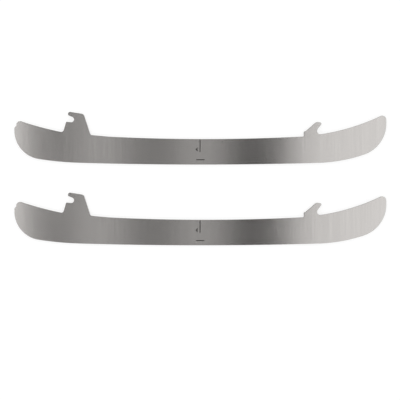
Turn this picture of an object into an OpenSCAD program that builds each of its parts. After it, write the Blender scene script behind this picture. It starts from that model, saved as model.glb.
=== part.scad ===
// A pair of one-piece steel runners for a hockey skate, lying on their sides with the toes along +X.
// Each runner is drawn in its own plane: x runs from mid length towards the toe, y from the lowest point
// of the running edge up towards the boot, and the thickness of the plate stands along z.

/* [Runner] */
// Overall length from heel to toe
runner_length = 280; // [250:1:310]
// Thickness of the steel plate
plate_thickness = 3; // [2.5:0.1:4]
// Height of the plate at its waist, from the running edge to the seat
waist_height = 19.2; // [17:0.1:23]
// Distance from one runner of the pair to the other
pair_pitch = 60.8; // [50:0.1:90]

/* [Running edge] */
// Radius of the rocker along the gliding edge
rocker_radius = 3048; // [2400:1:4000]
// Radius of the hollow that is ground into the gliding edge
hollow_radius = 12.7; // [9:0.1:20]
// Flat left on each side of the hollow
edge_land = 0.1; // [0.05:0.01:0.4]

/* [Seat] */
// Radius of the seat, the top edge between the tab and the hook
seat_radius = 1440; // [1100:1:2000]
// Lowest point of the seat, ahead of mid length
seat_offset = 3.2; // [-10:0.1:10]

/* [Toe] */
// Radius of the toe
toe_radius = 24.7; // [18:0.1:30]
// Radius of the curve that leads from the rocker to the toe
toe_lead_radius = 121; // [90:1:150]
// Slope of the edge where the lead curve ends and the toe radius starts
toe_lead_slope = 18.4; // [14:0.1:23]
// Radius of the hollow top edge between the throat and the toe tip
toe_top_radius = 160; // [130:1:220]
// Height of the toe tip above the seat, before its corner is rounded
toe_tip_rise = 19.5; // [17:0.1:22]
// Height of the top edge above the seat, under the throat
toe_throat_rise = 3.6; // [2.5:0.1:4.5]
// Corner radius of the toe tip
toe_corner_radius = 3.1; // [1:0.1:5]

/* [Heel] */
// Radius of the heel
heel_radius = 21.6; // [17:0.1:24]
// Radius of the curve that leads from the rocker to the heel
heel_lead_radius = 250; // [180:1:320]
// Slope of the edge where the lead curve ends and the heel radius starts
heel_lead_slope = 8.7; // [6:0.1:12]
// Radius of the hollow top edge between the heel tip and the tab
heel_top_radius = 260; // [180:1:400]
// Height of the heel tip above the seat, before its corner is rounded
heel_tip_rise = 14.6; // [13:0.1:17]
// Height of the top edge above the seat, at the tab's rear root
heel_root_rise = 5.1; // [4:0.1:6]
// Corner radius of the heel tip
heel_corner_radius = 2.8; // [1:0.1:3.5]
// Height of the shoulder on the back of the heel above the seat
shoulder_rise = 8.6; // [7.5:0.1:9.5]
// Depth of that shoulder, which is cut at 45 degrees
shoulder_depth = 1.4; // [0.5:0.1:2]

/* [Heel tab] */
// Distance from the heel to the tab's rear root
tab_setback = 36.6; // [33:0.1:45]
// Width of the tab across its root
tab_root_width = 20.7; // [18:0.1:24]
// Height of the tab above the seat, before its nose is rounded
tab_rise = 20.7; // [19:0.1:24]
// Lean of the rear flank from upright, towards the toe
tab_rear_lean = 16.6; // [12:0.1:20]
// Lean of the front flank from upright, towards the heel
tab_front_lean = 18.2; // [14:0.1:22]
// Fall of the tab's top towards the toe
tab_top_slope = 8.9; // [5:0.1:12]
// Corner radius at the front of the tab's top
tab_corner_radius = 2.3; // [0.5:0.1:3]
// Radius of the nose over the notch
nose_radius = 1.5; // [0.5:0.1:2]
// Distance of the nose from the corner of the lip below it, towards the toe
nose_setback = 1.4; // [0.5:0.1:2]
// Radius of the fillet at the tab's rear root
tab_rear_fillet = 1.9; // [0.5:0.1:3]
// Radius of the fillet at the tab's front root
tab_front_fillet = 1.6; // [1:0.1:4]
// Length of the ramp on which the seat rises to the tab's front root
tab_ramp_length = 14; // [8:0.5:20]
// Rise of that ramp above the seat
tab_ramp_rise = 0.5; // [0.2:0.05:0.8]

/* [Latch notch] */
// Radius of the notch, round which the latch closes
notch_radius = 2.1; // [1.8:0.05:2.3]
// Height of the corner of the lower lip above the seat
lip_rise = 13; // [11.5:0.1:13.5]
// Length of the lip, from its corner to the round of the notch
lip_length = 3.6; // [3:0.1:4.5]
// Fall of the lip towards the toe
lip_slope = 5.5; // [2:0.1:8]
// Rise of the upper side of the mouth towards the heel
mouth_slope = 22; // [15:0.1:26]
// Radius that breaks the corners of the mouth
mouth_corner_radius = 0.5; // [0.2:0.05:0.6]

/* [Toe hook] */
// Distance from the toe to the hook's upright back
hook_setback = 62; // [58:0.1:68]
// Height of the step at the back of the hook, above the seat
hook_step_rise = 5.85; // [5:0.05:7]
// Length of that step
hook_step_length = 1.2; // [1:0.1:2]
// Height of the hook above the seat
hook_rise = 12.9; // [12:0.1:14]
// Slope of the hook's back, above the step
hook_back_slope = 41; // [38:0.1:45]
// Fall of the hook's top towards the toe
hook_top_slope = 6; // [2:0.1:9]
// Slope of the hook's underside, from the throat up to its tip
hook_mouth_slope = 52; // [48:0.1:55]
// Radius of the throat, which bears on the pin at the front
throat_radius = 2.5; // [2:0.05:2.8]
// Distance from the hook's upright back to the middle of the throat
throat_reach = 12.4; // [12:0.1:14]
// Corner radius of the step
hook_step_radius = 0.6; // [0.3:0.1:0.8]
// Radius of the inner corner between the step and the sloping back
hook_bend_radius = 1; // [0.5:0.1:1.5]
// Radius where the sloping back turns into the hook's top
hook_top_radius = 2.6; // [1:0.1:3]
// Radius of the hook's tip
hook_tip_radius = 1.1; // [0.6:0.1:1.3]
// Radius of the fillet at the hook's back root
hook_root_fillet = 0.6; // [0.3:0.1:1.5]

/* [Marks] */
// Depth of the marks on the upper side
mark_depth = 0.05; // [0.02:0.01:0.2]
// Balance point, ahead of mid length
balance_offset = -0.2; // [-5:0.1:5]
// Length of the balance line, down from the seat
balance_line_length = 9.7; // [5:0.1:12]
// Width of the balance line
balance_line_width = 1; // [0.4:0.1:1.5]
// Height of the arrowhead beside the lower end of the balance line
arrow_height = 3.8; // [2:0.1:5]
// Length of the arrowhead, which points towards the heel
arrow_length = 1.8; // [1:0.1:4]
// Distance from the middle of the balance line to the arrowhead
arrow_offset = 1.8; // [1.2:0.1:4]
// Length of the wear mark
wear_mark_length = 6.4; // [4:0.1:12]
// Width of the wear mark
wear_mark_width = 0.8; // [0.4:0.1:1.5]
// Height of the wear mark above the running edge
wear_mark_height = 3.6; // [2:0.1:6]

/* [Hidden] */
$fn = 192;
// Sides of the circles whose radius is metres long
long_arc_sides = 2880;
// How far one arc laps over the next, so that they cross instead of only touching
arc_lap = 0.01;
// How far a cutting shape stands past what it cuts
cut_margin = 1;
// How far the tab and the hook reach down into the plate
root_depth = 6;

function heading(angle) = [cos(angle), sin(angle)];
function unit(v) = v / norm(v);
function left_of(v) = [-v.y, v.x];

// Where the line through p along u meets the line through q along v
function meeting(p, u, q, v) = p + u * cross(q - p, v) / cross(u, v);

// Centre of the circle of radius r through p and q, which is ahead of p, above the line between them
function centre_above(p, q, r) =
    let (half = (q - p) / 2) p + half + unit(left_of(half)) * sqrt(r * r - half * half);

// Height of the lower side of a circle at x
function underside(centre, r, x) = centre.y - sqrt(r * r - (x - centre.x) * (x - centre.x));

// Centre of the arc of radius r in the corner p between the lines to a and to b
function corner_centre(p, a, b, r) =
    let (u = unit(a - p), v = unit(b - p)) p + unit(u + v) * r / sin(acos(u * v) / 2);

// Point on the line from p to a where that arc starts
function corner_start(p, a, b, r) =
    let (u = unit(a - p), v = unit(b - p)) p + u * r / tan(acos(u * v) / 2);

// Ends of the runner, the top edge and the arcs that it follows
heel_end = -runner_length / 2;
toe_end = runner_length / 2;
seat_y = waist_height;
seat_centre = [seat_offset, seat_y + seat_radius];

// Corners of the heel tab, from its rear root round to its front root
tab_rear = [heel_end + tab_setback, seat_y + heel_root_rise];
tab_front_x = tab_rear.x + tab_root_width;
tab_front = [tab_front_x, underside(seat_centre, seat_radius, tab_front_x) + tab_ramp_rise];
ramp_end_x = tab_front_x + tab_ramp_length;
ramp_end = [ramp_end_x, underside(seat_centre, seat_radius, ramp_end_x)];
rear_flank = heading(90 - tab_rear_lean);
front_flank = heading(90 + tab_front_lean);
lip_corner = meeting(tab_rear, rear_flank, [0, seat_y + lip_rise], [1, 0]);
lip_run = heading(-lip_slope);
notch_centre = lip_corner + lip_run * lip_length + left_of(lip_run) * notch_radius;
mouth_run = heading(180 - mouth_slope);
mouth_top = notch_centre - left_of(mouth_run) * notch_radius;
nose_x = lip_corner.x + nose_setback;
nose_low = meeting(mouth_top, mouth_run, [nose_x, 0], [0, 1]);
nose_top = [nose_x, seat_y + tab_rise];
tab_corner = meeting(nose_top, heading(-tab_top_slope), tab_front, front_flank);

// Top edge from the heel tip to the tab, and the upright back of the heel tip
heel_back = heel_end + shoulder_depth;
heel_tip = [heel_back, seat_y + heel_tip_rise];
heel_top_centre = centre_above(heel_tip, tab_rear, heel_top_radius);
heel_corner_x = heel_back + heel_corner_radius;
heel_corner = [heel_corner_x,
    underside(heel_top_centre, heel_top_radius + heel_corner_radius, heel_corner_x)];

// Top edge from the throat to the toe tip
hook_back_x = toe_end - hook_setback;
throat_x = hook_back_x + throat_reach;
toe_tip = [toe_end, seat_y + toe_tip_rise];
toe_top_centre = centre_above([throat_x, seat_y + toe_throat_rise], toe_tip, toe_top_radius);
toe_corner_x = toe_end - toe_corner_radius;
toe_corner = [toe_corner_x,
    underside(toe_top_centre, toe_top_radius + toe_corner_radius, toe_corner_x)];

// Corners of the toe hook, from its back root round to its throat
hook_root = [hook_back_x, underside(seat_centre, seat_radius, hook_back_x)];
hook_step = [hook_back_x, seat_y + hook_step_rise];
hook_bend = hook_step + [hook_step_length, 0];
hook_top = meeting(hook_bend, heading(hook_back_slope), [0, seat_y + hook_rise], [1, 0]);
throat_centre = [throat_x, underside(toe_top_centre, toe_top_radius - throat_radius + arc_lap, throat_x)];
throat_down = unit(throat_centre - toe_top_centre);
hook_mouth_run = heading(hook_mouth_slope);
hook_mouth = throat_centre + left_of(hook_mouth_run) * (throat_radius - arc_lap);
hook_tip = meeting(hook_top, heading(-hook_top_slope), hook_mouth, hook_mouth_run);

// Highest point of a runner, and where the pair lies so that its middle is on the origin
runner_top = corner_centre(nose_top, nose_low, tab_corner, nose_radius).y + nose_radius + arc_lap;
right_runner_y = -(pair_pitch + runner_top) / 2;
left_runner_y = right_runner_y + pair_pitch;

// Each outline given, as a solid of the plate's thickness
module thick() {
    for (i = [0 : $children - 1]) linear_extrude(plate_thickness) children(i);
}

// What lies between a circle and the corner that it rounds, to be cut off an outer corner or filled into
// an inner one
module blend(centre, r, rim) {
    difference() {
        polygon(concat([centre], [for (q = rim) q + unit(q - centre) * cut_margin / 2]));
        translate(centre) circle(r + arc_lap);
    }
}

// The same for the corner p between two straight lines
module blend_corner(p, a, b, r) {
    blend(corner_centre(p, a, b, r), r, [corner_start(p, a, b, r), p, corner_start(p, b, a, r)]);
}

// What lies outside an arc of the lower edge, ahead of the place where the arc starts
module outside_arc(centre, r, start_x) {
    difference() {
        translate([start_x, -cut_margin]) square([toe_end - start_x, centre.y] + cut_margin * [1, 1]);
        translate(centre) circle(r);
    }
}

// What the lead curve and the end radius take off the lower edge at the toe or, mirrored, at the heel
module end_curve(lead_radius, lead_slope, end_radius) {
    lead_reach = lead_radius * sin(lead_slope) + end_radius * (1 - sin(lead_slope));
    lead_start = asin((toe_end - lead_reach) / (rocker_radius - lead_radius));
    lead_centre = [0, rocker_radius] + (rocker_radius - lead_radius + arc_lap) * heading(lead_start - 90);
    end_centre = lead_centre + (lead_radius - end_radius + arc_lap) * heading(lead_slope - 90);
    outside_arc(lead_centre, lead_radius, rocker_radius * sin(lead_start));
    outside_arc(end_centre, end_radius, lead_centre.x + lead_radius * sin(lead_slope));
}

// What an arc of the top edge takes off the plate between two places along it
module top_cut(centre, r, from_x, to_x) {
    intersection() {
        translate(centre) circle(r, $fn = long_arc_sides);
        translate([from_x, 0]) square([to_x - from_x, centre.y]);
    }
}

// The back of the heel tip, which is set in above a shoulder
module shoulder_cut() {
    shoulder_y = seat_y + shoulder_rise;
    past_end = heel_end - cut_margin;
    past_top = heel_tip.y + cut_margin;
    polygon([[past_end, shoulder_y - cut_margin], [heel_back, shoulder_y + shoulder_depth],
        [heel_back, past_top], [past_end, past_top]]);
}

// The plate between the running edge and the top edge, without the tab and the hook
module plate() {
    tab_middle = (tab_rear.x + tab_front.x) / 2;
    hook_middle = (hook_back_x + throat_x) / 2;
    blank_height = max(heel_tip.y, toe_tip.y) + cut_margin;
    difference() {
        intersection() {
            translate([heel_end, -cut_margin]) square([runner_length, blank_height + cut_margin]);
            translate([0, rocker_radius]) circle(rocker_radius, $fn = long_arc_sides);
        }
        end_curve(toe_lead_radius, toe_lead_slope, toe_radius);
        mirror([1, 0]) end_curve(heel_lead_radius, heel_lead_slope, heel_radius);
        top_cut(heel_top_centre, heel_top_radius, heel_end - cut_margin, tab_middle + cut_margin);
        top_cut(seat_centre, seat_radius, tab_middle - cut_margin, hook_middle + cut_margin);
        top_cut(toe_top_centre, toe_top_radius, hook_middle - cut_margin, toe_end + cut_margin);
        shoulder_cut();
        blend(heel_corner, heel_corner_radius, [[heel_back, heel_corner.y], heel_tip,
            heel_corner + unit(heel_top_centre - heel_corner) * heel_corner_radius]);
        blend(toe_corner, toe_corner_radius, [[toe_end, toe_corner.y], toe_tip,
            toe_corner + unit(toe_top_centre - toe_corner) * toe_corner_radius]);
    }
}

// The notch in the heel tab: a round with a mouth that opens towards the heel
module latch_notch() {
    lip_side = notch_centre - left_of(lip_run) * (notch_radius - arc_lap);
    nose_side = notch_centre - left_of(mouth_run) * (notch_radius - arc_lap);
    mouth_length = lip_length + nose_setback + cut_margin;
    translate(notch_centre) circle(notch_radius);
    polygon([lip_side, lip_side - lip_run * mouth_length, nose_side + mouth_run * mouth_length, nose_side]);
}

// The heel tab, with the notch that the latch holds
module heel_tab() {
    tab_rear_edge = tab_rear + left_of(heel_top_centre - tab_rear);
    ramp_depth = [0, root_depth];
    thick() {
        difference() {
            polygon([tab_rear - rear_flank * root_depth, lip_corner, [nose_x, lip_corner.y], nose_top,
                tab_corner, tab_front - front_flank * root_depth]);
            latch_notch();
            blend_corner(lip_corner, tab_rear, lip_corner + lip_run, mouth_corner_radius);
            blend_corner(nose_low, mouth_top, nose_top, mouth_corner_radius);
            blend_corner(nose_top, nose_low, tab_corner, nose_radius);
            blend_corner(tab_corner, nose_top, tab_front, tab_corner_radius);
        }
        blend_corner(tab_rear, lip_corner, tab_rear_edge, tab_rear_fillet);
        polygon([tab_front, tab_front - ramp_depth, ramp_end - ramp_depth, ramp_end]);
        blend_corner(tab_front, tab_corner, ramp_end, tab_front_fillet);
    }
}

// The toe hook, still without the round of its throat
module toe_hook() {
    hook_back_edge = hook_root + left_of(seat_centre - hook_root);
    thick() {
        difference() {
            polygon([hook_root - [0, root_depth], hook_step, hook_bend, hook_top, hook_tip, hook_mouth,
                throat_centre, throat_centre + throat_down * (throat_radius + root_depth)]);
            blend_corner(hook_step, hook_root, hook_bend, hook_step_radius);
            blend_corner(hook_top, hook_bend, hook_tip, hook_top_radius);
            blend_corner(hook_tip, hook_top, hook_mouth, hook_tip_radius);
        }
        blend_corner(hook_bend, hook_step, hook_top, hook_bend_radius);
        blend_corner(hook_root, hook_step, hook_back_edge, hook_root_fillet);
    }
}

// The round of the throat under the hook, cut right through
module throat() {
    translate([throat_centre.x, throat_centre.y, -cut_margin])
        cylinder(h = plate_thickness + 2 * cut_margin, r = throat_radius);
}

// The hollow that is ground along the rocker, and runs out where the edge turns up at its ends
module hollow() {
    groove_half = plate_thickness / 2 - edge_land;
    groove_reach = sqrt(hollow_radius * hollow_radius - groove_half * groove_half);
    span = 2 * asin(toe_end / rocker_radius);
    translate([0, rocker_radius, plate_thickness / 2]) rotate(-90 - span / 2)
        rotate_extrude(angle = span, $fn = long_arc_sides) translate([rocker_radius, 0]) intersection() {
            translate([groove_reach, 0]) circle(hollow_radius);
            square(2 * [cut_margin, plate_thickness], center = true);
        }
}

// The marks on the upper side: the balance line with its arrowhead, and the wear mark
module marks() {
    line_low = seat_y - balance_line_length;
    translate([0, 0, plate_thickness - mark_depth]) linear_extrude(mark_depth + cut_margin) {
        translate([balance_offset - balance_line_width / 2, line_low])
            square([balance_line_width, balance_line_length + cut_margin]);
        translate([balance_offset - arrow_offset, line_low])
            polygon([[0, 0], [0, arrow_height], [-arrow_length, arrow_height / 2]]);
        translate([0, wear_mark_height]) square([wear_mark_length, wear_mark_width], center = true);
    }
}

module runner() {
    difference() {
        union() {
            thick() plate();
            heel_tab();
            toe_hook();
        }
        throat();
        hollow();
        marks();
    }
}

module left_runner() {
    color("silver") translate([0, left_runner_y, 0]) runner();
}

module right_runner() {
    color("silver") translate([0, right_runner_y, 0]) runner();
}

left_runner();
right_runner();
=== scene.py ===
import cmath
import math
from collections import namedtuple

import bpy
import numpy as np
from mathutils.geometry import delaunay_2d_cdt
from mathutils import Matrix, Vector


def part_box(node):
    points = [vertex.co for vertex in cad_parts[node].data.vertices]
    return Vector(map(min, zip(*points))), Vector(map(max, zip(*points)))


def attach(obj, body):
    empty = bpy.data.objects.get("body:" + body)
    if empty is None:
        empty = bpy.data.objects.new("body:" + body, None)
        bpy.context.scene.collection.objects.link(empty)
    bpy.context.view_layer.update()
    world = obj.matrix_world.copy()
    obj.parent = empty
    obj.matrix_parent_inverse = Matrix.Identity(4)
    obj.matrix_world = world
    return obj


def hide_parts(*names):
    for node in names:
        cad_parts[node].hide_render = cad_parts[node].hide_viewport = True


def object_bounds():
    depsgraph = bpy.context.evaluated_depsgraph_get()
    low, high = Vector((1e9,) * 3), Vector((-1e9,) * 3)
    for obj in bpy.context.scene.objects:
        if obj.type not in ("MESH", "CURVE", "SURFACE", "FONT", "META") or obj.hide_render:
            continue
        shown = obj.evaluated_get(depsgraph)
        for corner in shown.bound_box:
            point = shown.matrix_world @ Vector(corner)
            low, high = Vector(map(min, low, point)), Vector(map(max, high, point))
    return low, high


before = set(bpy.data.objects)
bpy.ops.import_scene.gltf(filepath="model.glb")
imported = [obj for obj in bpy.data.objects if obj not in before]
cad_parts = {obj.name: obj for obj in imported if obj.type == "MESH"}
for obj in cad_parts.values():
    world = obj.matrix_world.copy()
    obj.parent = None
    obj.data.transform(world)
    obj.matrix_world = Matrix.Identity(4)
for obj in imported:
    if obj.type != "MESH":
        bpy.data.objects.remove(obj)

cad_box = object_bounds()

# The outline of a runner: one plate of ground stainless steel, cut to shape in one piece with its heel
# tab and its toe hook. It is worked out in millimetres as complex numbers x + iy, from the lowest point
# of the running edge, and goes round anticlockwise with the metal on its left.
MM = 0.001
plate_low, plate_high = (np.array(limit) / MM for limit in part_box("left_runner"))
heel_end, toe_end = plate_low[0], plate_high[0]
plate_thickness = plate_high[2] - plate_low[2]
waist_height = 19.2
rocker_radius = 3048
seat_radius = 1440
seat_offset = 3.2
toe_radius = 24.7
toe_lead_radius = 121
toe_lead_slope = 18.4
toe_top_radius = 160
toe_tip_rise = 19.5
toe_throat_rise = 3.6
toe_corner_radius = 3.1
heel_radius = 21.6
heel_lead_radius = 250
heel_lead_slope = 8.7
heel_top_radius = 260
heel_tip_rise = 14.6
heel_root_rise = 5.1
heel_corner_radius = 2.8
shoulder_rise = 8.6
shoulder_depth = 1.4
shoulder_slope = 45
shoulder_round = 0.4
tab_setback = 36.6
tab_root_width = 20.7
tab_rise = 20.7
tab_rear_lean = 16.6
tab_front_lean = 18.2
tab_top_slope = 8.9
tab_corner_radius = 2.3
tab_rear_fillet = 1.9
tab_front_fillet = 1.6
tab_ramp_length = 14
tab_ramp_rise = 0.5
tab_ramp_blend = 60
nose_radius = 1.5
nose_setback = 1.4
notch_radius = 2.1
lip_rise = 13
lip_length = 3.6
lip_slope = 5.5
mouth_slope = 22
mouth_corner_radius = 0.5
hook_setback = 62
hook_step_rise = 5.85
hook_step_length = 1.2
hook_step_radius = 0.6
hook_rise = 12.9
hook_back_slope = 41
hook_bend_radius = 1
hook_top_slope = 6
hook_top_radius = 2.6
hook_mouth_slope = 52
hook_tip_radius = 1.1
hook_root_fillet = 0.6
throat_radius = 2.5
throat_reach = 12.4
arc_step = math.radians(3)
arc_chord = 0.8
least_step = 1e-4

Line = namedtuple("Line", "point direction")
Arc = namedtuple("Arc", "centre radius")
Round = namedtuple("Round", "centre start end")


def heading(degrees):
    """Unit vector at an angle from the X axis."""
    return cmath.rect(1, math.radians(degrees))


def line(point, degrees):
    """Straight edge through a point, running at an angle from the X axis."""
    return Line(point, heading(degrees))


def crossing(edge, other):
    """Where a line meets another line, or the lower side of a circle."""
    reach = (other[0] - edge.point) / edge.direction
    if isinstance(other, Arc):
        half = math.sqrt(other.radius ** 2 - reach.imag ** 2)
        ends = [edge.point + edge.direction * (reach.real + side * half) for side in (-1, 1)]
        return min(ends, key=lambda end: end.imag)
    turn = other.direction / edge.direction
    return edge.point + edge.direction * (reach.real - reach.imag * turn.real / turn.imag)


def moved_in(edge, depth):
    """The same edge, a depth further into the metal: left of a line, or outside a hollow arc."""
    if isinstance(edge, Arc):
        return Arc(edge.centre, edge.radius + depth)
    return Line(edge.point + 1j * edge.direction * depth, edge.direction)


def foot(edge, point):
    """The point of an edge that lies nearest to a point."""
    away = point - edge[0]
    if isinstance(edge, Arc):
        return edge.centre + edge.radius * away / abs(away)
    return edge.point + edge.direction * (away / edge.direction).real


def corner(edge, following, radius):
    """The round between two edges: its centre lies one radius inside both on an outer corner, and one
    radius outside both on an inner corner, where the radius is below zero."""
    first, second = moved_in(edge, radius), moved_in(following, radius)
    centre = crossing(second, first) if isinstance(first, Arc) else crossing(first, second)
    return Round(centre, foot(edge, centre), foot(following, centre))


def underside(arc, x):
    """Point at x on the lower side of a circle."""
    return crossing(line(x, 90), arc)


def arc_over(start, end, radius):
    """Circle through two points, with its centre above them."""
    half = (end - start) / 2
    return Arc(start + half + 1j * half / abs(half) * math.sqrt(radius ** 2 - abs(half) ** 2), radius)


def walked(rounds):
    """Points along a row of rounds, and at each the unit vector into the metal: a round turns about its
    centre from its start to its end, and a straight stretch is what lies between two rounds."""
    points, inward = [], []
    for centre, start, end in rounds:
        sweep = cmath.phase((end - centre) / (start - centre))
        radius = abs(start - centre)
        steps = math.ceil(max(abs(sweep) / arc_step, abs(sweep) * radius / arc_chord))
        spoke = (start - centre) * np.exp(1j * sweep * np.linspace(0, 1, steps + 1))
        points.append(centre + spoke)
        inward.append(-math.copysign(1, sweep) * spoke / radius)
    points, inward = np.concatenate(points), np.concatenate(inward)
    apart = abs(points - np.roll(points, 1)) > least_step
    return points[apart], inward[apart]


def end_curve(reach, lead_radius, lead_slope, end_radius):
    """Centres of the lead curve and the end radius, which touch the rocker, each other and the upright at
    the runner's end."""
    slope = math.sin(math.radians(lead_slope))
    lead_x = reach - lead_radius * slope - end_radius * (1 - slope)
    lead_turn = math.degrees(math.asin(lead_x / (rocker_radius - lead_radius)))
    lead = rocker.centre + (rocker_radius - lead_radius) * heading(lead_turn - 90)
    return lead, lead + (lead_radius - end_radius) * heading(lead_slope - 90)


# Arcs of the running edge and the top edge
rocker = Arc(1j * rocker_radius, rocker_radius)
seat_y = waist_height
seat = Arc(seat_offset + 1j * (seat_y + seat_radius), seat_radius)
tab_rear_root = heel_end + tab_setback + 1j * (seat_y + heel_root_rise)
heel_back_x = heel_end + shoulder_depth
heel_top = arc_over(heel_back_x + 1j * (seat_y + heel_tip_rise), tab_rear_root, heel_top_radius)
hook_back_x = toe_end - hook_setback
throat_x = hook_back_x + throat_reach
toe_tip = toe_end + 1j * (seat_y + toe_tip_rise)
toe_top = arc_over(throat_x + 1j * (seat_y + toe_throat_rise), toe_tip, toe_top_radius)
toe_lead, toe = end_curve(toe_end, toe_lead_radius, toe_lead_slope, toe_radius)
heel_lead, heel = (-centre.conjugate() for centre in end_curve(
    -heel_end, heel_lead_radius, heel_lead_slope, heel_radius))

# Straight edges of the toe hook, from its throat round to its back
throat = underside(moved_in(toe_top, -throat_radius), throat_x)
hook_mouth = line(throat + 1j * heading(hook_mouth_slope) * throat_radius, hook_mouth_slope)
hook_ledge = line(1j * (seat_y + hook_step_rise), 180)
hook_slope = line(hook_back_x + hook_step_length + hook_ledge.point, 180 + hook_back_slope)
hook_peak = crossing(hook_slope, line(1j * (seat_y + hook_rise), 180))
hook_top = line(hook_peak, 180 - hook_top_slope)
hook_back = line(hook_back_x, 270)

# Straight edges of the heel tab, from its front round to its rear
tab_front_x = tab_rear_root.real + tab_root_width
tab_front_root = underside(seat, tab_front_x) + 1j * tab_ramp_rise
tab_front = line(tab_front_root, 90 + tab_front_lean)
ramp_run = tab_front_root - underside(seat, tab_front_x + tab_ramp_length)
tab_ramp = Line(tab_front_root, ramp_run / abs(ramp_run))
tab_rear = line(tab_rear_root, 270 - tab_rear_lean)
lip_corner = crossing(tab_rear, line(1j * (seat_y + lip_rise), 180))
lip = line(lip_corner, 180 - lip_slope)
notch = lip_corner + heading(-lip_slope) * (lip_length + 1j * notch_radius)
mouth = line(notch + 1j * heading(-mouth_slope) * notch_radius, -mouth_slope)
nose = line(lip_corner.real + nose_setback, 270)
tab_top = line(nose.point + 1j * (seat_y + tab_rise), 180 - tab_top_slope)

# The edges from the toe over the top to the heel, each with the radius of the corner that follows it
toe_front, heel_back, heel_upright = line(toe_end, 90), line(heel_back_x, 270), line(heel_end, 270)
shoulder = line(heel_end + 1j * (seat_y + shoulder_rise), 180 + shoulder_slope)
top_edges = [
    (toe_front, toe_corner_radius), (toe_top, -throat_radius), (hook_mouth, hook_tip_radius),
    (hook_top, hook_top_radius), (hook_slope, -hook_bend_radius), (hook_ledge, hook_step_radius),
    (hook_back, -hook_root_fillet), (seat, -tab_ramp_blend), (tab_ramp, -tab_front_fillet),
    (tab_front, tab_corner_radius), (tab_top, nose_radius), (nose, mouth_corner_radius),
    (mouth, -notch_radius), (lip, mouth_corner_radius), (tab_rear, -tab_rear_fillet),
    (heel_top, heel_corner_radius), (heel_back, -shoulder_round), (shoulder, shoulder_round),
    (heel_upright, 0)]
rounds = []
for (edge, radius), (following, _) in zip(top_edges, top_edges[1:]):
    turn = corner(edge, following, radius)
    if isinstance(edge, Arc):
        rounds.append(Round(edge.centre, rounds[-1].end, turn.start))
    rounds.append(turn)

# The running edge, from the heel's upright along the rocker to the toe's
heel_touch = foot(Arc(heel_lead, heel_lead_radius), heel)
heel_lead_touch, toe_lead_touch = foot(rocker, heel_lead), foot(rocker, toe_lead)
toe_touch = foot(Arc(toe_lead, toe_lead_radius), toe)
rounds += [
    Round(heel, heel - heel_radius, heel_touch),
    Round(heel_lead, heel_touch, heel_lead_touch),
    Round(rocker.centre, heel_lead_touch, toe_lead_touch),
    Round(toe_lead, toe_lead_touch, toe_touch),
    Round(toe, toe_touch, toe + toe_radius)]
outline, outline_inward = walked(rounds)

# The rim of the plate, carried round the outline: cut square, with its edges eased by a fine stone, but
# left sharp along the rocker, where a hollow is ground along the running edge between two narrow lands.
edge_break = 0.15
keen_edge_break = 0.03
keen_edge_rise = 1.0
face_margin = 0.3
hollow_radius = 12.7
edge_land = 0.1
break_turn = np.radians(np.linspace(0, 90, 5))
wall_shares = np.array([0.08, 0.2, 0.35, 0.5, 0.65, 0.8, 0.92])


def smooth(share):
    """From 0 to 1 with level ends: 3 s squared less 2 s cubed."""
    share = np.clip(share, 0, 1)
    return share * share * (3 - 2 * share)


def rim_profile(rise, eased_share):
    """Depth into the metal and height of each row of the rim at each point of the outline: a margin of the
    lower face, a quarter round, the wall with its hollow, a quarter round and a margin of the upper face.
    The hollow is a groove of its radius about the rocker, so it runs out where the edge rises from it."""
    eased = keen_edge_break + (edge_break - keen_edge_break) * eased_share
    round_depth = eased * (1 - np.sin(break_turn))[:, None]
    round_height = eased * (1 - np.cos(break_turn))[:, None]
    wall_height = eased + (plate_thickness - 2 * eased) * wall_shares[:, None]
    groove_reach = math.sqrt(hollow_radius ** 2 - (plate_thickness / 2 - edge_land) ** 2)
    groove = np.sqrt(hollow_radius ** 2 - (wall_height - plate_thickness / 2) ** 2) - groove_reach
    margin = np.full((1, len(rise)), face_margin)
    depth = np.vstack([margin, round_depth, np.maximum(groove - rise, 0), round_depth[::-1], margin])
    height = np.vstack([0 * margin, round_height, wall_height, plate_thickness - round_height[::-1],
                        0 * margin + plate_thickness])
    return depth, height


outline_rise = rocker_radius - abs(outline - rocker.centre)
outline_eased = smooth(outline_rise / keen_edge_rise)
rim_depth, rim_height = rim_profile(outline_rise, outline_eased)

# The marks on the upper side, etched a few hundredths of a millimetre deep and left dark: the line at
# the balance point with a small arrowhead beside it, and the dash that shows how far the runner may wear.
mark_depth = 0.05
mark_corner = 0.15
mark_slant = 0.04
mark_margin = 0.08
balance_line_length = 9.7
balance_line_width = 1
balance_line_gap = 0.45
balance_offset = -0.2
arrow_offset = 1.8
arrow_length = 1.8
arrow_height = 3.8
wear_mark_length = 6.4
wear_mark_width = 0.8
wear_mark_height = 3.6


def mark_path(corners):
    """Path round a mark with the given corners, in anticlockwise order, each with the same small round."""
    sides = [Line(p, (q - p) / abs(q - p)) for p, q in zip(corners, corners[1:] + corners[:1])]
    return walked([corner(side, after, mark_corner) for side, after in zip(sides, sides[1:] + sides[:1])])


def mark_box(low, size):
    """Path round an upright rectangular mark, from its lowest corner and its size."""
    return mark_path([low, low + size.real, low + size, low + 1j * size.imag])


line_foot = balance_offset + 1j * (seat_y - balance_line_length)
line_size = balance_line_width + 1j * (balance_line_length - balance_line_gap)
arrow_foot = line_foot - arrow_offset
arrow_tip = arrow_foot - arrow_length + 1j * arrow_height / 2
wear_size = wear_mark_length + 1j * wear_mark_width
mark_paths = [
    mark_box(line_foot - balance_line_width / 2, line_size),
    mark_path([arrow_foot, arrow_foot + 1j * arrow_height, arrow_tip]),
    mark_box(1j * wear_mark_height - wear_size / 2, wear_size)]

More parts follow.
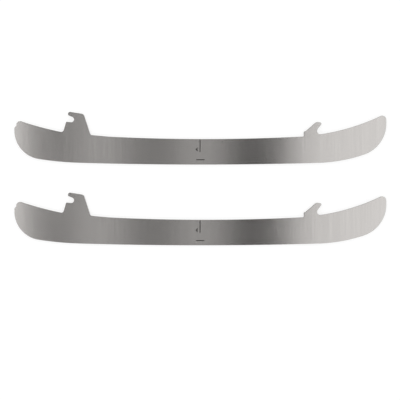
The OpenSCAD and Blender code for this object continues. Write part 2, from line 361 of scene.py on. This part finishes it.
# The skin of a runner, one closed mesh: the rim and the marks, with flat faces between them. Its map gives
# the way across the grain, and shares at its points say how the steel was finished there.
# Rows of a mark's profile: depth inside its path, drop below the upper side, and 1 where it was etched
mark_rows = [(-mark_margin, 0, 0), (0, 0, 0), (mark_slant, mark_depth, 1), (2 * mark_slant, mark_depth, 1)]
wheel_share = 0.5
# The fill gives the triangles inside a loop, and none inside the loops that lie within it
fill_less_holes = 2
fill_tolerance = 1e-7


def carried(path, inward, depth, height):
    """Points of a profile carried round a path, as rows of x, y and z: each row lies its depth inside the
    path, at its height. Depth and height have one row for each row of the profile."""
    flat = path + inward * depth
    return np.stack([flat.real, flat.imag, np.broadcast_to(height, flat.shape)], axis=-1)


def ring_quads(rows, count, first):
    """Faces between neighbouring rows of a profile that closes on itself, as indices of four corners."""
    row, place = np.mgrid[:rows - 1, :count]
    here, ahead = first + row * count + place, first + row * count + (place + 1) % count
    return np.stack([here, ahead, ahead + count, here + count], axis=-1).reshape(-1, 4)


def flat_triangles(points, loops, up):
    """Triangles that fill the flat face inside the first loop and outside the others, facing up or down:
    the Delaunay triangles of the loops' points, with every side of a loop kept."""
    order = np.concatenate(loops)
    ends = np.cumsum([0, *map(len, loops)]).tolist()
    rings = [list(range(first, last)) for first, last in zip(ends, ends[1:])]
    filled = delaunay_2d_cdt(points[order, :2].tolist(), [], rings, fill_less_holes, fill_tolerance)
    triangles = order[np.array(filled[2])]
    return triangles if up else triangles[:, ::-1]


def runner_skin(depth, height):
    """The rim's profile carried round the outline, each mark's profile round its path, and flat faces that
    close them: the points, the faces of four corners, the triangles, and which points were etched."""
    rows, count = depth.shape
    rim = carried(outline, outline_inward, depth, height).reshape(-1, 3)
    parts, quads, etched = [rim], [ring_quads(rows, count, 0)], [np.zeros(len(rim))]
    holes, floors = [], []
    for path, inward in mark_paths:
        first, places = sum(map(len, parts)), np.arange(len(path))
        row_depth, row_drop, row_etched = np.array(mark_rows).T[:, :, None]
        parts.append(carried(path, inward, row_depth, plate_thickness - row_drop).reshape(-1, 3))
        quads.append(ring_quads(len(mark_rows), len(path), first))
        etched.append(np.repeat(row_etched, len(path)))
        holes.append(first + places)
        floors.append(first + (len(mark_rows) - 1) * len(path) + places)
    points = np.concatenate(parts)
    top_ring = (rows - 1) * count + np.arange(count)
    flats = [([np.arange(count)], False), ([top_ring, *holes], True)]
    flats += [([floor], True) for floor in floors]
    triangles = np.concatenate([flat_triangles(points, loops, up) for loops, up in flats])
    return points, np.concatenate(quads), triangles, np.concatenate(etched)


def grain_map(points, quads, triangles, height, keen):
    """The map at each corner of each face, in metres: x and y on the flat faces, the way along the edge and
    up on the wall of the rim, and these two the other way round where the sharpening wheel has run."""
    rows, count = height.shape
    row, place = np.mgrid[:rows - 1, :count]
    along = np.concatenate([[0], np.cumsum(abs(np.roll(outline, -1) - outline))])
    rim_map = np.stack([
        np.stack([along[place + over], height[row + above, (place + over) % count]], axis=-1)
        for over, above in ((0, 0), (1, 0), (1, 1), (0, 1))], axis=2)
    wheeled = keen > wheel_share
    rim_map[:, wheeled] = rim_map[:, wheeled, :, ::-1]
    wall = slice(count, (rows - 2) * count)
    quad_map = points[quads, :2]
    quad_map[wall] = rim_map.reshape(-1, 4, 2)[wall]
    return np.concatenate([quad_map.reshape(-1, 2), points[triangles, :2].reshape(-1, 2)]) * MM


skin_points, skin_quads, skin_triangles, skin_etched = runner_skin(rim_depth, rim_height)
outline_keen = 1 - outline_eased
skin_map = grain_map(skin_points, skin_quads, skin_triangles, rim_height, outline_keen)

# How the rim was finished: cut on its wall and keen where it is sharpened, with a painted shade on its
# eased edges
off_rim = np.zeros(len(skin_points) - rim_depth.size)
eased_cut, eased_edge_shade = break_turn / break_turn[-1], np.ones(len(break_turn))
row_cut = np.concatenate([[0], eased_cut, np.ones(len(wall_shares)), eased_cut[::-1], [0]])
row_edge_shade = np.concatenate([[0], eased_edge_shade, np.zeros(len(wall_shares)), eased_edge_shade, [0]])
finish_shares = {
    "cut": np.concatenate([np.repeat(row_cut, len(outline)), off_rim]),
    "edge_shade": np.concatenate([np.repeat(row_edge_shade, len(outline)), off_rim]),
    "keen": np.concatenate([np.outer(row_cut, outline_keen).ravel(), off_rim]),
    "etched": skin_etched}


def runner_mesh(name, base_y):
    """The skin as a mesh in metres, with the lowest point of its running edge at a place along Y."""
    mesh = bpy.data.meshes.new(name)
    placed = (skin_points + [0, base_y, plate_low[2]]) * MM
    mesh.from_pydata(placed.tolist(), [], skin_quads.tolist() + skin_triangles.tolist())
    mesh.polygons.foreach_set("use_smooth", np.ones(len(mesh.polygons), bool))
    mesh.uv_layers.new(name="grain").uv.foreach_set("vector", skin_map.astype(np.float32).ravel())
    for share, values in finish_shares.items():
        mesh.attributes.new(share, "FLOAT", "POINT").data.foreach_set("value", values.astype(np.float32))
    mesh.validate()
    return mesh


# The steel: stainless, ground crosswise to a satin finish on both faces, so the fine lines of the grain run
# from the running edge up to the top edge. The cut rim is duller, with striations across it, and darker:
# partly its cut finish, partly painted shade. Along the rocker it is brighter, and its lines run along the
# edge, as the sharpening wheel leaves them. The eased edges carry a darker painted shade line.
steel_colour = (0.70, 0.677, 0.657, 1)
steel_dark = (0.53, 0.51, 0.495, 1)
cut_and_shaded_colour = (0.48, 0.465, 0.45, 1)
cut_and_shaded_dark = (0.26, 0.25, 0.24, 1)
# Painted shade: the eased edges are given this darker colour, a dark line along the outline of the plate
edge_shade_colour = (0.50, 0.485, 0.47, 1)
etched_colour = (0.12, 0.115, 0.11, 1)
face_roughness = (0.168, 0.184)
cut_roughness = 0.36
keen_roughness = 0.24
keen_shine = 0.5
etched_roughness = 0.6
Streaks = namedtuple("Streaks", "scale detail")
fine_grain = Streaks((7000, 60, 7000), 2)
broad_grain = Streaks((700, 12, 700), 2)
broad_share = 0.55
scores = Streaks((4200, 40, 4200), 1)
score_levels = (0.62, 0.85)
clouds = Streaks((22, 30, 30), 3)
cloud_levels = (0.3, 0.7)
striations = Streaks((1800, 60, 1), 3)
streak_roughness = 0.6
relief_strength = 0.15
relief_height = 0.05 * MM
grain_anisotropy = 0.6


def node(tree, kind, links=None, **settings):
    """Adds a shader node, sets what is named in settings, and joins or sets its inputs."""
    made = tree.nodes.new(kind)
    for key, value in settings.items():
        setattr(made, key, value)
    for socket, value in (links or {}).items():
        if isinstance(value, bpy.types.NodeSocket):
            tree.links.new(value, made.inputs[socket])
        else:
            made.inputs[socket].default_value = value
    return made


def streaks(tree, place, drawn):
    """Noise about 0.5, drawn out by its own scale along each of X, Y and Z."""
    stretched = node(tree, "ShaderNodeMapping", {"Vector": place, "Scale": drawn.scale}).outputs["Vector"]
    return node(tree, "ShaderNodeTexNoise", {"Vector": stretched, "Scale": 1, "Detail": drawn.detail,
                                             "Roughness": streak_roughness}).outputs["Fac"]


def mixed(tree, share, one, other, kind="RGBA"):
    """One value or colour going over to another as the share goes from 0 to 1."""
    first, result = {"FLOAT": (2, 0), "RGBA": (6, 2)}[kind]
    made = node(tree, "ShaderNodeMix", {0: share, first: one, first + 1: other}, data_type=kind)
    return made.outputs[result]


def steel_material():
    """Ground steel: streaks drawn out along Y on the faces, and along the map's second direction on the
    rim, drive its tone and relief. Where a third noise is high, a darker score runs among them."""
    material = bpy.data.materials.new("ground_steel")
    material.use_nodes = True
    tree = material.node_tree
    tree.nodes.clear()
    place = node(tree, "ShaderNodeTexCoord").outputs["Object"]
    on_map = node(tree, "ShaderNodeUVMap", uv_map="grain").outputs["UV"]
    cut, edge_shade, keen, etched = (node(tree, "ShaderNodeAttribute", attribute_name=name).outputs["Fac"]
                               for name in ("cut", "edge_shade", "keen", "etched"))
    score = node(tree, "ShaderNodeMapRange", {
        "Value": streaks(tree, place, scores), "From Min": score_levels[0],
        "From Max": score_levels[1]}).outputs["Result"]
    fine, broad = streaks(tree, place, fine_grain), streaks(tree, place, broad_grain)
    grain = mixed(tree, broad_share, fine, broad, "FLOAT")
    grain = mixed(tree, score, grain, 0, "FLOAT")
    grain = mixed(tree, cut, grain, streaks(tree, on_map, striations), "FLOAT")
    # Painted shade in part: the cut rim is darkened, half as much where it is keen
    dulled_and_shaded = node(tree, "ShaderNodeMath", {0: keen, 1: -keen_shine, 2: cut}, operation="MULTIPLY_ADD")
    dark = mixed(tree, dulled_and_shaded.outputs[0], steel_dark, cut_and_shaded_dark)
    light = mixed(tree, dulled_and_shaded.outputs[0], steel_colour, cut_and_shaded_colour)
    toned = mixed(tree, grain, dark, light)
    # Painted shade: the darker edge colour is laid on the eased edges, but not where the rim is keen
    eased = mixed(tree, edge_shade, toned, edge_shade_colour)
    tone = mixed(tree, keen, eased, toned)
    colour = mixed(tree, etched, tone, etched_colour)
    gloss = node(tree, "ShaderNodeMapRange", {
        "Value": streaks(tree, place, clouds), "From Min": cloud_levels[0], "From Max": cloud_levels[1],
        "To Min": face_roughness[0], "To Max": face_roughness[1]})
    rim_rough = mixed(tree, keen, cut_roughness, keen_roughness, "FLOAT")
    rough = mixed(tree, cut, gloss.outputs["Result"], rim_rough, "FLOAT")
    rough = mixed(tree, etched, rough, etched_roughness, "FLOAT")
    relief = node(tree, "ShaderNodeBump", {
        "Strength": relief_strength, "Distance": relief_height, "Height": grain})
    tangent = node(tree, "ShaderNodeTangent", direction_type="UV_MAP", uv_map="grain").outputs["Tangent"]
    shader = node(tree, "ShaderNodeBsdfPrincipled", {
        "Base Color": colour, "Metallic": 1, "Roughness": rough, "Anisotropic": grain_anisotropy,
        "Tangent": tangent, "Normal": relief.outputs["Normal"]})
    node(tree, "ShaderNodeOutputMaterial", {"Surface": shader.outputs["BSDF"]})
    return material


steel = steel_material()
for side in ("left", "right"):
    cad_node, name = side + "_runner", side + "_steel_runner"
    base_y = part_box(cad_node)[0][1] / MM
    runner = bpy.data.objects.new(name, runner_mesh(name, base_y))
    runner.data.materials.append(steel)
    bpy.context.collection.objects.link(runner)
    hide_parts(cad_node)
    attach(runner, cad_node)

# The floor: a wide sheet of matt white paper that the runners lie on. It shows white to the camera and in
# the gloss of the steel, and keeps the runners' soft shadow. The sizes from here on are in metres.
floor_reach = 12
floor_gap = 0.05 * MM
floor_white = 0.3
floor_lift = 0.75


def white_rays(tree):
    """1 for the rays that see the white ground: from the camera, off a gloss or through glass."""
    path = node(tree, "ShaderNodeLightPath").outputs
    seen = node(tree, "ShaderNodeMath", {0: path["Is Camera Ray"], 1: path["Is Glossy Ray"]},
                operation="MAXIMUM")
    return node(tree, "ShaderNodeMath", {0: seen.outputs[0], 1: path["Is Transmission Ray"]},
                operation="MAXIMUM").outputs[0]


floor_mesh = bpy.data.meshes.new("floor")
floor_z = cad_box[0][2] - floor_gap
floor_corners = [(-floor_reach, -floor_reach, floor_z), (floor_reach, -floor_reach, floor_z),
                 (floor_reach, floor_reach, floor_z), (-floor_reach, floor_reach, floor_z)]
floor_mesh.from_pydata(floor_corners, [], [(0, 1, 2, 3)])
floor = bpy.data.objects.new("floor", floor_mesh)
bpy.context.collection.objects.link(floor)
floor_paper = bpy.data.materials.new("white_paper")
floor_paper.use_nodes = True
paper_tree = floor_paper.node_tree
paper_tree.nodes.clear()
matt = node(paper_tree, "ShaderNodeBsdfDiffuse", {"Color": (floor_white, floor_white, floor_white, 1)})
lift = node(paper_tree, "ShaderNodeMath", {0: white_rays(paper_tree), 1: floor_lift}, operation="MULTIPLY")
glow = node(paper_tree, "ShaderNodeEmission", {"Color": (1, 1, 1, 1), "Strength": lift.outputs[0]})
both = node(paper_tree, "ShaderNodeAddShader", {0: matt.outputs[0], 1: glow.outputs[0]})
node(paper_tree, "ShaderNodeOutputMaterial", {"Surface": both.outputs[0]})
floor_mesh.materials.append(floor_paper)

# The studio: a white room, and over the runners a dark card with four soft strip lights under it and two
# weaker ones between, which the flat steel mirrors: bright at both ends, dim between the strips. Dark flags
# lean round the runners, so that steel seen from the side mirrors light and dark as well.
card_height = 0.34
card_size = (1.3, 1.1)
card_level = 0.01
strip_height = 0.30
strip_length = 0.9
fill_height = 0.32
Strip = namedtuple("Strip", "name heel_side toe_side height level")
strips = [
    Strip("toe_strip", 0.0906, 0.49, strip_height, 0.977),
    Strip("middle_strip", -0.0224, 0.0287, strip_height, 0.529),
    Strip("heel_strip", -0.1246, -0.0785, strip_height, 0.409),
    Strip("heel_end_strip", -0.58, -0.1828, strip_height, 1.262),
    Strip("heel_fill", -0.186, -0.0228, fill_height, 0.187),
    Strip("toe_fill", 0.2, 0.49, fill_height, 0.15)]
flag_count = 13
flag_radius = 1.0
flag_low = 0.05
flag_high = 0.62
flag_share = 0.56
flag_lean = 0.5
flag_rows = 12
flag_level = 0.2

world = bpy.data.worlds.new("white_room")
bpy.context.scene.world = world
world.use_nodes = True
world_tree = world.node_tree
world_tree.nodes.clear()
sky = node(world_tree, "ShaderNodeBackground", {"Color": (1, 1, 1, 1), "Strength": 1})
node(world_tree, "ShaderNodeOutputWorld", {"Surface": sky.outputs[0]})


def mirrored_card(name, points, faces, level):
    """A card that only the gloss of the steel sees, at an even level."""
    mesh = bpy.data.meshes.new(name)
    mesh.from_pydata(points, [], faces)
    cloth = bpy.data.materials.new(name + "_cloth")
    cloth.use_nodes = True
    tree = cloth.node_tree
    tree.nodes.clear()
    dim = node(tree, "ShaderNodeEmission", {"Color": (1, 1, 1, 1), "Strength": level})
    node(tree, "ShaderNodeOutputMaterial", {"Surface": dim.outputs[0]})
    mesh.materials.append(cloth)
    card = bpy.data.objects.new(name, mesh)
    bpy.context.collection.objects.link(card)
    card.visible_camera = card.visible_diffuse = card.visible_transmission = card.visible_shadow = False


half_x, half_y = card_size[0] / 2, card_size[1] / 2
mirrored_card("dark_card", [(-half_x, -half_y, card_height), (-half_x, half_y, card_height),
                            (half_x, half_y, card_height), (half_x, -half_y, card_height)],
              [(0, 1, 2, 3)], card_level)

flag, flag_row, flag_side = np.mgrid[:flag_count, :flag_rows, :2]
share_up = flag_row / (flag_rows - 1)
flag_turn = 2 * np.pi * (flag + flag_share * flag_side + flag_lean * share_up) / flag_count
flag_points = np.stack([flag_radius * np.cos(flag_turn), flag_radius * np.sin(flag_turn),
                        flag_low + (flag_high - flag_low) * share_up], axis=-1)
corner_index = np.arange(flag.size).reshape(flag.shape)
low_edge, high_edge = corner_index[:, :-1], corner_index[:, 1:, ::-1]
mirrored_card("dark_flags", flag_points.reshape(-1, 3).tolist(),
              np.concatenate([low_edge, high_edge], axis=2).reshape(-1, 4).tolist(), flag_level)

for strip in strips:
    lamp = bpy.data.lights.new(strip.name, "AREA")
    lamp.shape = "RECTANGLE"
    lamp.size, lamp.size_y = strip.toe_side - strip.heel_side, strip_length
    # A level is a brightness, where white is 1: the energy is pi times the level and the lit area
    lamp.energy = strip.level * math.pi * lamp.size * lamp.size_y
    lit = bpy.data.objects.new(strip.name, lamp)
    lit.location = ((strip.heel_side + strip.toe_side) / 2, 0, strip.height)
    lit.visible_camera = lit.visible_diffuse = False
    bpy.context.collection.objects.link(lit)

# The camera: straight above the pair, level with the page. It is as far off as its long lens needs to take
# in the view's width at the height of the runners' upper side.
view_width = 301.03 * MM
view_centre = (-0.245 * MM, -16.1 * MM)
lens = 100
sensor = 36
camera_data = bpy.data.cameras.new("camera")
camera_data.lens = lens
camera_data.sensor_width = sensor
camera = bpy.data.objects.new("camera", camera_data)
camera.location = (*view_centre, plate_high[2] * MM + view_width * lens / sensor)
bpy.context.collection.objects.link(camera)
bpy.context.scene.camera = camera
bpy.context.scene.view_settings.view_transform = "Standard"
